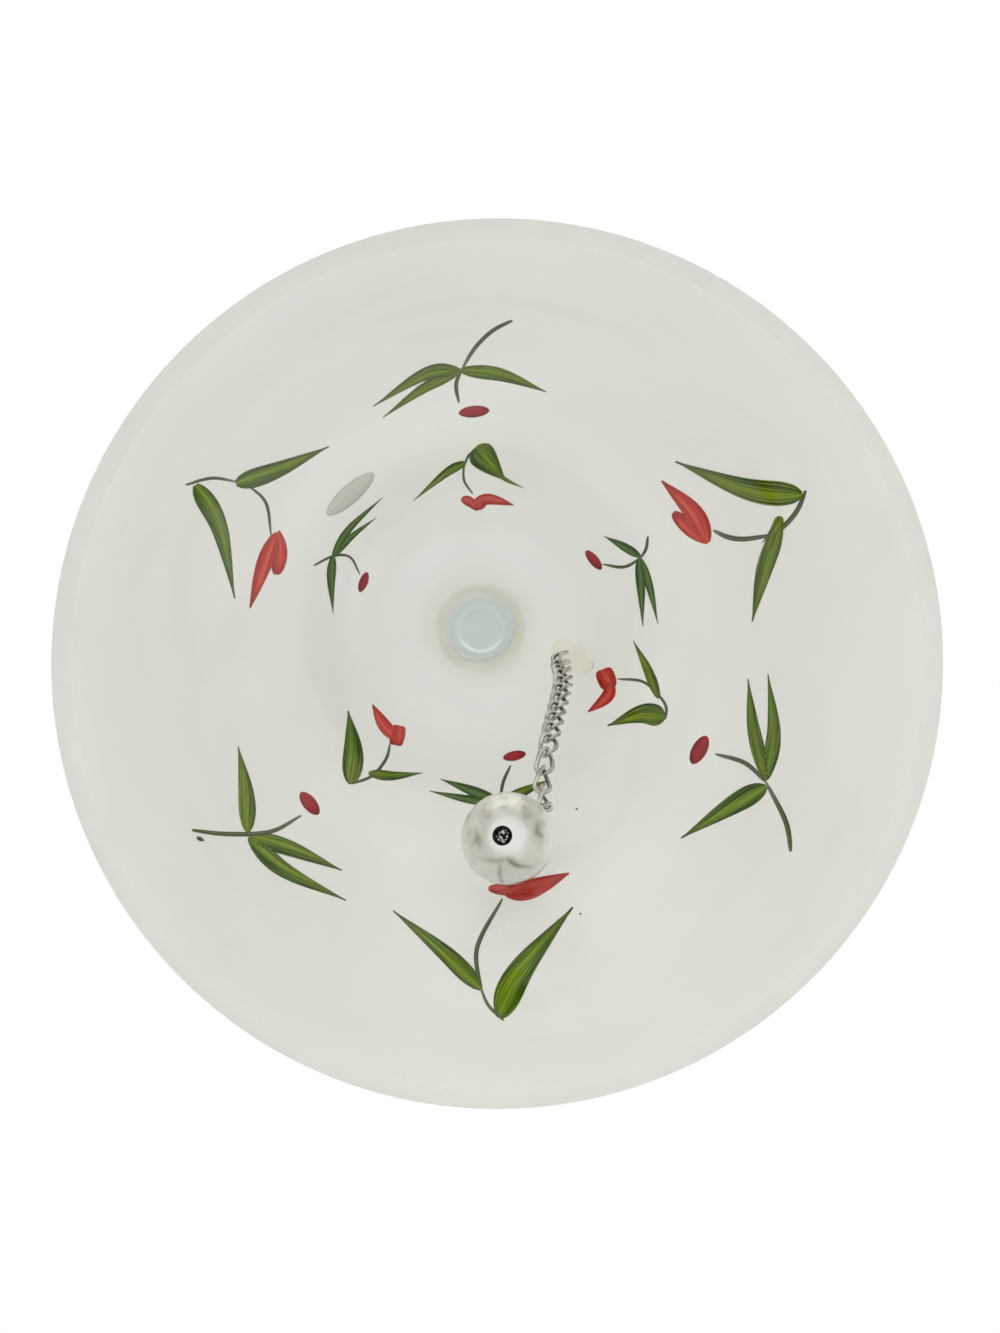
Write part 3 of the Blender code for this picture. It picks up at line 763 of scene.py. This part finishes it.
spread = [(PAD_RADIUS * step / PAD_STEPS, 0) for step in range(1, PAD_STEPS + 1)]
under = []
for step in range(PAD_STEPS, 0, -1):
    share = step / PAD_STEPS
    under.append((PAD_RADIUS * share, -PAD_FILM - PAD_BELLY * (1 - share**2)))
pad = ring_stack("adhesive_spread", [*spread, *under], PAD_SEGMENTS)
for vertex in pad.data.vertices:
    depth = vertex.co.z / MM
    # a dab spreads unevenly, so its edge wanders in and out
    around = math.atan2(vertex.co.y, vertex.co.x)
    wander = 1 + 0.12 * math.sin(2 * around + 0.6) + 0.08 * math.sin(5 * around)
    spot = vertex.co.to_2d() / MM * wander + pad_middle.to_2d()
    if depth < -PAD_FILM / 2:
        inside = 1 - (vertex.co.to_2d().length / MM / PAD_RADIUS) ** 4
        from_link = (spot - set_spot.to_2d()).length
        depth -= PAD_MOUND * inside * math.exp(-(from_link**2) / MOUND_SPREAD)
    vertex.co = Vector((spot.x, spot.y, crown_height(spot.length) - PAD_GAP + depth)) * MM
settle(pad)
print("adhesive, mm:", [round(v / MM, 1) for v in pad.dimensions])

# %% Adhesive finish
ADHESIVE_INDEX = 1.08
ADHESIVE_LUMPS = 2.5  # in millimetres


def set_adhesive():
    """Clear adhesive that has yellowed a little, and cured with an uneven skin."""
    made, tree, shader, place = new_material("set clear adhesive")
    lumps = add(tree, "TexNoise", {"Vector": place, "Scale": 1 / (ADHESIVE_LUMPS * MM), "Detail": 2.0})
    stops = [(0.3, "#fcf9ec"), (0.7, "#fffefa")]
    rough = add(tree, "MapRange", {"Value": lumps, "To Min": 0.05, "To Max": 0.2})
    finish = {
        "Base Color": add(tree, "ValToRGB", {"Fac": lumps}, stops),
        "Roughness": rough,
        "IOR": ADHESIVE_INDEX,
        "Transmission Weight": 1.0,
    }
    feed(tree, shader, finish)
    return made


pad.data.materials.append(set_adhesive())
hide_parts("adhesive_pad")
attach(pad, "bell")
print("adhesive finish:", pad.active_material.name)

# %% [markdown]
# ## The enamel sprigs
# Each stroke of the brush is a thin patch of enamel, fired into the satin. It is a small grid whose long side
# follows the stroke. The strokes are laid out as the picture shows them. The eye sees them through clear
# glass, which bends its ray, so each point is found by following that ray: into the inner face, through the
# wall, and out to the satin face, where the enamel lies.

# %% Following the eye's ray through the wall
MARCH, FARTHEST, HALVINGS = 0.5, 1000, 30
MOUTH = 0.3  # the lowest place that a ray can meet the inner face, in millimetres


def wall_hit(start, ray, profile, lowest):
    """Where a ray in millimetres meets a turned wall from within: marched, then halved."""

    def beyond(t):
        spot = start + ray * t
        return spot.z > lowest and math.hypot(spot.x, spot.y) > radius_at(profile, spot.z)

    t = max(0.0, (lowest - start.z) / ray.z)
    while not beyond(t) and t < FARTHEST:
        t += MARCH
    low, high = t - MARCH, t
    for _ in range(HALVINGS):
        middle = (low + high) / 2
        low, high = (low, middle) if beyond(middle) else (middle, high)
    return start + ray * high


def outward(profile, spot):
    """The wall's outward direction at a point, square to its profile."""
    step = 0.2  # in millimetres, up and down
    lean = (radius_at(profile, spot.z + step) - radius_at(profile, spot.z - step)) / (2 * step)
    flat = Vector((spot.x, spot.y, 0)).normalized()
    return (flat - Vector((0, 0, lean))).normalized()


def bend(ray, normal, ratio):
    """Snell's law: the ray after the surface. The normal points along the ray."""
    cosine = ray.dot(normal)
    sideways = ray - normal * cosine
    return (sideways * ratio + normal * math.sqrt(1 - ratio**2 * (1 - cosine**2))).normalized()


ENAMEL_DEPTH = 0.022  # how deep the middle of the enamel lies in the glass, in millimetres


def enamel_spot(x, y):
    """The place on the satin face that shows at this place in the picture, in metres."""
    ray = photo_ray(x, y)
    first = wall_hit(EYE / MM, ray, inner_wall, MOUTH)
    within = bend(ray, outward(inner_wall, first), 1 / CUP_INDEX)
    second = wall_hit(first, within, outer_wall, first.z)
    return (second - outward(outer_wall, second) * ENAMEL_DEPTH) * MM


TRIAL_Y = 400  # a height in the picture at which the function is tried
trial_spot = enamel_spot(CENTRE_X, TRIAL_Y)
print("a point of the satin face, mm:", [round(v / MM, 1) for v in trial_spot])

# %% One brush stroke
SPINE_STEPS = 10


def spine_at(points, t):
    """A point of the smooth curve through three or more points, by its share of the way."""
    curve = smooth_curve([Vector(p) for p in points], SPINE_STEPS)
    place = t * (len(curve) - 1)
    i = min(int(place), len(curve) - 2)
    return curve[i].lerp(curve[i + 1], place - i)


def swell(t, belly, blunt, sharp):
    """How full a stroke is along its way: it rises to its belly, and then thins to its tip."""
    if t < belly:
        return math.sin(math.pi / 2 * t / belly) ** blunt
    return math.cos(math.pi / 2 * (t - belly) / (1 - belly)) ** sharp


LEAF, STEM, TULIP, BUD, REFLECTION_MARK, THIN_LEAF = range(6)
STROKES = {
    # kind: (paint, steps along, belly, bluntness of the start, sharpness of the tip)
    "leaf": (LEAF, 18, 0.32, 0.50, 1.15),
    "round leaf": (LEAF, 18, 0.26, 0.42, 1.15),
    "stem": (STEM, 12, 0.50, 0.22, 0.30),
    "petal": (TULIP, 14, 0.42, 0.50, 0.95),
    "blunt petal": (TULIP, 14, 0.62, 0.70, 0.34),
    "round petal": (TULIP, 12, 0.45, 0.40, 0.40),
    "square petal": (TULIP, 12, 0.50, 0.14, 0.12),
    "speck": (STEM, 4, 0.50, 0.50, 0.50),
    # a painted reflection on the glossy inside, laid on the satin as a pale stroke
    "reflection mark": (REFLECTION_MARK, 14, 0.50, 0.50, 0.50),
    "bud": (BUD, 12, 0.50, 0.50, 0.50),
    "thin leaf": (THIN_LEAF, 18, 0.32, 0.50, 1.15),
}
ACROSS = 6
END, SLIVER = 0.01, 0.06  # a stroke's ends keep a sliver of width, so that no face closes to nothing
GLANCE = 0.02  # how far ahead and back to look for the stroke's direction


def stroke(kind, width, points):
    """A grid bent along the stroke, width in pixels of the picture, from the first point to the last."""
    _, steps, belly, blunt, sharp = STROKES[kind]
    deselect_all()
    bpy.ops.mesh.primitive_grid_add(x_subdivisions=steps, y_subdivisions=ACROSS, size=1)
    made = bpy.context.active_object
    for vertex in made.data.vertices:
        along, across = vertex.co.x + 0.5, vertex.co.y * 2
        t = END + (1 - 2 * END) * along
        ahead, back = spine_at(points, min(t + GLANCE, 1)), spine_at(points, max(t - GLANCE, 0))
        run = (ahead - back).normalized()
        reach = width / 2 * max(swell(t, belly, blunt, sharp), SLIVER) * across
        spot = spine_at(points, t) + Vector((-run.y, run.x)) * reach
        vertex.co = enamel_spot(spot.x, spot.y)
    return made


print("kinds of stroke:", len(STROKES))

# %% [markdown]
# ## Where the strokes lie
# Twelve sprigs in two rings. Each has a stem whose root points to the mouth and a flower that points to the
# crown: a red tulip or a crimson bud in turn. Long thin leaves grow from the joint of the stem. Each stroke is
# its kind, its width and the places it goes through, all in pixels of the picture. One pale oval among them is
# no enamel but a painted reflection on the glossy inside.

# %% Strokes of each sprig
SPRIGS = {
    "outer_bud_top": [
        ("stem", 4.0, [(513, 320), (492, 331), (474, 349), (461, 371)]),
        ("stem", 4.0, [(461, 370), (456, 385), (459, 403)]),
        ("leaf", 14.0, [(459, 370), (502, 375), (547, 392)]),
        ("leaf", 14.0, [(461, 370), (425, 374), (372, 407)]),
        ("leaf", 11.0, [(460, 371), (424, 388), (382, 418)]),
        ("bud", 11.5, [(458.5, 413), (474, 411.5), (489.5, 410)]),
    ],
    "outer_tulip_upper_right": [
        ("round leaf", 25.0, [(803, 495), (747, 489), (674, 461)]),
        ("stem", 5.0, [(806, 490), (797, 511), (783, 527), (768, 537)]),
        ("stem", 5.0, [(772, 535), (745, 539), (728, 537), (713, 530)]),
        ("round leaf", 10.0, [(781, 516), (775, 529), (762, 543)]),
        ("leaf", 17.5, [(781, 524), (764, 571), (752, 623)]),
        ("petal", 19.0, [(709, 543), (694, 513), (661, 480)]),
        ("blunt petal", 14.0, [(708, 544), (691, 530), (673, 512)]),
    ],
    "outer_bud_right": [
        ("stem", 5.0, [(791, 852), (786, 822), (765.5, 781)]),
        ("stem", 4.5, [(766, 782), (745, 763), (715, 754)]),
        ("leaf", 21.0, [(767, 786), (733, 805), (680, 839)]),
        ("leaf", 14.0, [(766, 781), (754, 730), (748, 678)]),
        ("leaf", 15.0, [(766, 781), (774, 732), (768, 673)]),
        ("bud", 15.0, [(707, 736), (699.5, 750), (692, 764)]),
    ],
    "outer_tulip_bottom": [
        ("stem", 3.0, [(504, 1021), (488, 1005), (480, 986)]),
        ("stem", 4.5, [(481, 990), (477, 948), (503, 898)]),
        ("leaf", 18.0, [(482, 990), (447, 955), (392, 910)]),
        ("leaf", 28.0, [(499, 1019), (520, 972), (574, 906)]),
        ("petal", 20.0, [(503, 893), (531, 889), (570, 873)]),
        ("round petal", 11.0, [(488, 888.5), (505, 890), (524, 892)]),
        ("speck", 2.2, [(579.4, 914), (580.6, 914), (581.8, 914)]),
        ("speck", 2.2, [(575.6, 809), (576.8, 809), (578, 809)]),
    ],
    "outer_bud_lower_left": [
        ("stem", 4.5, [(191, 830), (225, 834), (270, 832), (302, 815)]),
        ("leaf", 17.0, [(248, 833), (246, 793), (238, 746)]),
        ("leaf", 17.0, [(248, 836), (291, 849), (343, 871)]),
        ("leaf", 17.0, [(248, 837), (284, 870), (347, 901)]),
        ("bud", 13.5, [(300.5, 792.5), (309.5, 803.5), (318.5, 814.5)]),
        ("speck", 4.0, [(196.5, 837), (200, 839), (204, 841)]),
    ],
    "outer_tulip_upper_left": [
        ("stem", 3.0, [(185, 485), (212, 478), (238, 482)]),
        ("stem", 3.0, [(248, 485), (266, 503), (271, 536)]),
        ("round leaf", 19.0, [(235, 484), (277, 470), (330, 446)]),
        ("round leaf", 20.0, [(195, 484), (219, 527), (235, 600)]),
        ("petal", 16.0, [(277, 532), (264, 564), (249.5, 609)]),
        ("blunt petal", 15.0, [(279, 530), (280, 552), (276, 575)]),
    ],
    "inner_tulip_top": [
        ("stem", 2.5, [(481, 447), (469, 455), (464, 467)]),
        ("stem", 2.5, [(464, 463), (464, 480), (473, 494)]),
        ("leaf", 9.0, [(466, 462), (446, 473), (413, 501)]),
        ("round leaf", 27.0, [(475, 447), (488, 462), (506, 481)]),
        ("leaf", 4.5, [(490, 466), (505, 479), (524, 488)]),
        ("petal", 11.0, [(472, 504), (489, 499), (514, 505)]),
        ("petal", 10.0, [(461, 498.5), (470, 502), (477, 511)]),
        ("round petal", 9.0, [(472, 505), (479, 505.5), (486, 503)]),
    ],
    "inner_bud_upper_right": [
        ("stem", 3.0, [(648, 536), (646, 549), (640, 559)]),
        ("stem", 3.0, [(641, 558), (624, 567), (602, 564)]),
        ("thin leaf", 8.5, [(641, 557), (623, 546), (604, 536)]),
        ("thin leaf", 9.5, [(639, 557), (641, 587), (643, 627)]),
        ("thin leaf", 8.0, [(641, 558), (650, 588), (658, 624)]),
        ("bud", 9.5, [(586, 550.5), (594, 560), (601.5, 569.5)]),
    ],
    "inner_tulip_right": [
        ("stem", 2.8, [(665, 720), (666, 706), (655, 690)]),
        ("stem", 2.8, [(656, 691), (641, 681), (617, 679)]),
        ("leaf", 10.0, [(659, 699), (648, 670), (633, 640)]),
        ("round leaf", 22.0, [(665, 718), (642, 714), (607, 726)]),
        ("square petal", 18.5, [(603, 669), (606, 677), (610, 688)]),
        ("petal", 12.5, [(612, 681), (607, 697), (587.5, 712.5)]),
    ],
    "inner_bud_bottom": [
        ("stem", 3.2, [(500, 804), (503, 783), (511, 765)]),
        ("stem", 3.2, [(497, 834), (497, 819), (500, 803)]),
        ("thin leaf", 11.0, [(501, 803), (472, 791), (440, 779)]),
        ("thin leaf", 8.5, [(501, 804), (466, 799), (429, 791)]),
        ("leaf", 10.5, [(500, 803), (524, 791.5), (549, 780)]),
        ("bud", 9.5, [(503, 758), (514.5, 756), (526, 753.5)]),
    ],
    "inner_tulip_lower_left": [
        ("stem", 3.2, [(351, 784), (372, 776), (386, 759), (390, 743)]),
        ("leaf", 21.0, [(351, 785), (353, 750), (348, 710)]),
        ("leaf", 10.0, [(368, 773), (392, 776), (423, 773)]),
        ("petal", 13.0, [(399, 741), (384, 725), (372, 704)]),
        ("square petal", 15.0, [(399.5, 725.5), (397.5, 735), (395.5, 745.5)]),
    ],
    "inner_bud_upper_left": [
        ("stem", 2.5, [(313, 566), (333, 556), (350, 557), (360, 575)]),
        ("thin leaf", 7.5, [(332, 557), (349, 529), (383, 497)]),
        ("thin leaf", 6.5, [(333, 557), (351, 537), (377, 517)]),
        ("thin leaf", 9.0, [(333, 555), (331, 580), (333, 614)]),
        ("bud", 8.5, [(367, 572), (363.5, 582), (359.5, 592)]),
        # a painted reflection on the glossy inside, laid as a pale oval stroke with this sprig
        ("reflection mark", 19.0, [(327, 515), (350, 494), (374, 473)]),
    ],
}

# %% [markdown]
# ## Enamel colours
# Each colour is a ground glass paint that melts on in the kiln, so it is glossy and a little uneven. A leaf
# is loaded with two greens at once: dark at its edges, yellow green along its middle, grey where it thins.
# The bristles leave fine lines along the stroke, so the pattern follows the stroke's own UV map. On the side
# towards the glass, paint and glass are one, and nothing is reflected there.

# %% Enamel materials
LOADED = 0.42  # where across a stroke the brush held most paint: a little off its middle
OWN_MARKS = 40  # how fast the bristle marks change from stroke to stroke
# repeats along and across a stroke: on a leaf a streak is about 0.1 mm wide, and a fine line half of that
BRISTLES, LINES = (1.2, 9.0, 1.0), (0.8, 22.0, 1.0)
ENAMEL_INDEX, FUSED_INDEX = 1.5, 1.0


def enamel(name, edge, shade, middle, tip, line, paleness, streak, index):
    """Strokes read their own UV map: U runs along the stroke, and V across it."""
    made, tree, shader, place = new_material(name)
    uv = add(tree, "TexCoord").outputs["UV"]
    along, across = add(tree, "SeparateXYZ", {"Vector": uv}).outputs[:2]
    off = add(tree, "Math", {0: across, 1: LOADED}, operation="SUBTRACT")
    rim = add(tree, "Math", {0: off}, operation="ABSOLUTE")
    # the place is mixed in, so that no two strokes have the same marks
    own = add(tree, "VectorMath", {0: place, 1: (OWN_MARKS,) * 3}, operation="MULTIPLY")
    marks = add(tree, "VectorMath", {0: uv, 1: own}, operation="ADD")
    # bristle marks: noise stretched along the stroke shifts the two greens in and out
    long = add(tree, "Mapping", {"Vector": marks, "Scale": BRISTLES})
    bristles = add(tree, "TexNoise", {"Vector": long, "Scale": 1.5, "Detail": 3.0})
    shake = add(tree, "Math", {0: bristles, 1: streak}, operation="MULTIPLY")
    edge_ness = add(tree, "Math", {0: rim, 1: shake}, operation="ADD")
    stops = [(0.16, middle), (0.36, shade), (0.58, edge)]
    body = add(tree, "ValToRGB", {"Fac": edge_ness}, stops)
    # a few bristles leave a paler line, and a few a darker one
    fine = add(tree, "Mapping", {"Vector": marks, "Scale": LINES})
    lines = add(tree, "TexNoise", {"Vector": fine, "Scale": 1.3, "Detail": 2.0})
    for low, high, tone in ((0.52, 0.64, line), (0.46, 0.36, edge)):
        span = {"Value": lines, "From Min": low, "From Max": high, "To Max": paleness}
        share = add(tree, "MapRange", span)
        mix = {SHARE: share, FIRST: body, SECOND: tone}
        body = add(tree, "Mix", mix, data_type="RGBA").outputs[MIXED]
    thin = add(tree, "MapRange", {"Value": along, "From Min": 0.7, "From Max": 1.0})
    mix = {SHARE: thin, FIRST: body, SECOND: tip}
    tone = add(tree, "Mix", mix, data_type="RGBA").outputs[MIXED]
    feed(tree, shader, {"Base Color": tone, "Roughness": 0.35, "IOR": index})
    return made


PAINTS = {
    # name: edge, shade, middle, thin tip, pale line, how pale the lines are, how far the bristles shift
    "leaf green": ("#264804", "#52720a", "#86a210", "#50642c", "#b0c444", 0.7, 0.35),
    "stem grey green": ("#3b4a2e", "#4f5c3c", "#65724c", "#7f876f", "#98a084", 0.4, 0.20),
    "tulip red": ("#c42420", "#e03c34", "#f25c50", "#b4342f", "#f8907c", 0.6, 0.40),
    "bud crimson": ("#86161f", "#b02430", "#be303c", "#86161f", "#d8646e", 0.5, 0.25),
    # a pale grey for the painted reflection, which is no enamel
    "pale reflection": ("#e8ebe3", "#eef1e9", "#f1f4ec", "#eef1e9", "#f4f7ef", 0.3, 0.20),
    "grey leaf green": ("#2a4a1c", "#4f6e2e", "#6e8c46", "#58694c", "#94aa6e", 0.6, 0.30),
}
enamels = [enamel(name + " enamel", *paint, ENAMEL_INDEX) for name, paint in PAINTS.items()]
enamels += [enamel(name + " enamel, glass side", *paint, FUSED_INDEX) for name, paint in PAINTS.items()]
print("enamels:", len(enamels))

# %% Laying the sprigs
ENAMEL_THICKNESS = 0.09  # in millimetres
for name, strokes in SPRIGS.items():
    made = [stroke(*one) for one in strokes]
    for one, (kind, _, _) in zip(made, strokes):
        for paint in enamels:
            one.data.materials.append(paint)
        for face in one.data.polygons:
            face.material_index = STROKES[kind][0]
    deselect_all()
    for one in made:
        one.select_set(True)
    bpy.context.view_layer.objects.active = made[0]
    bpy.ops.object.join()
    sprig = bpy.context.active_object
    sprig.name = sprig.data.name = "sprig_" + name
    wall = sprig.modifiers.new("thickness", "SOLIDIFY")
    wall.thickness, wall.offset = ENAMEL_THICKNESS * MM, 0.0
    apply_modifiers(sprig)
    bpy.ops.object.shade_smooth()
    for face in sprig.data.polygons:
        if face.normal.to_2d().dot(face.center.to_2d()) < 0:
            face.material_index += len(PAINTS)
    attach(sprig, "bell")
print("sprigs:", len(SPRIGS), "strokes:", sum(map(len, SPRIGS.values())))

# %% [markdown]
# ## Floor, world and lamps
# The bell stands on a pale floor. From below, the floor's back lets the eye through, and the white world
# shows behind the glass, as in the picture. Lamps are large and soft, as a light tent's are. Two stand to
# one side and above, and two are below the rim, because that is where the picture's light comes in.

# %% Floor
FLOOR_RADIUS, FLOOR_DROP = 3.0, 0.0002  # metres: just under the rim, so that the two faces don't flicker
deselect_all()
bpy.ops.mesh.primitive_circle_add(
    vertices=64, radius=FLOOR_RADIUS, fill_type="NGON", location=(0, 0, -FLOOR_DROP)
)
ground = bpy.context.active_object
ground.name = "floor"
pale, tree, shader, _ = new_material("pale studio floor")
feed(tree, shader, {"Base Color": "#f4f4f2", "Roughness": 0.9})
behind = add(tree, "NewGeometry").outputs["Backfacing"]
clear = add(tree, "BsdfTransparent")
choose = add(tree, "MixShader", {"Fac": behind, 1: shader, 2: clear})
output = next(node for node in tree.nodes if node.bl_idname == "ShaderNodeOutputMaterial")
feed(tree, output, {"Surface": choose})
ground.data.materials.append(pale)
for ray in ("shadow", "diffuse", "transmission", "glossy"):
    setattr(ground, "visible_" + ray, False)
print("floor radius, m:", FLOOR_RADIUS)

# %% World
SEEN_WHITE, SOFT_LIGHT = 1.0, 0.8
world = bpy.data.worlds.new("studio")
bpy.context.scene.world = world
world.use_nodes = True
tree = world.node_tree
tree.nodes.clear()
path = add(tree, "LightPath").outputs
seen = path["Is Camera Ray"]
for other in ("Is Glossy Ray", "Is Transmission Ray"):
    seen = add(tree, "Math", {0: seen, 1: path[other]}, operation="MAXIMUM")
plain = add(tree, "Background", {"Color": "#ffffff", "Strength": SOFT_LIGHT})
white = add(tree, "Background", {"Color": "#ffffff", "Strength": SEEN_WHITE})
mixed = add(tree, "MixShader", {"Fac": seen, 1: plain, 2: white})
add(tree, "OutputWorld", {"Surface": mixed})
print("world light:", SOFT_LIGHT)

# %% Lamps
MIDDLE, INSIDE_WALL = (0, 0, 0.06), (0, 0, 0.04)
LAMPS = {
    # name: (size in metres, watts, place, target, seen in gloss)
    "key": (1.0, 3.0, (-0.1, -0.9, 0.5), MIDDLE, True),
    "fill": (0.8, 1.0, (0.8, 0.2, 0.7), MIDDLE, True),
    "from below": (1.6, 4.2, (-0.1, -0.8, -1.1), INSIDE_WALL, False),
    "from behind": (1.2, 1.4, (0.1, 0.7, -1.0), INSIDE_WALL, False),
}
for name, (size, watts, place, target, glossy) in LAMPS.items():
    lamp = bpy.data.objects.new(name, bpy.data.lights.new(name, "AREA"))
    bpy.context.scene.collection.objects.link(lamp)
    lamp.data.size = size
    lamp.data.energy = watts
    lamp.visible_camera = False
    lamp.visible_glossy = glossy
    lamp.location = place
    away = Vector(place) - Vector(target)
    lamp.rotation_euler = away.to_track_quat("Z", "Y").to_euler()
print("lamps:", len(LAMPS))

# %% [markdown]
# ## Finish
# The colours are shown through the Standard view transform.

# %% Finish
bpy.context.scene.view_settings.view_transform = "Standard"
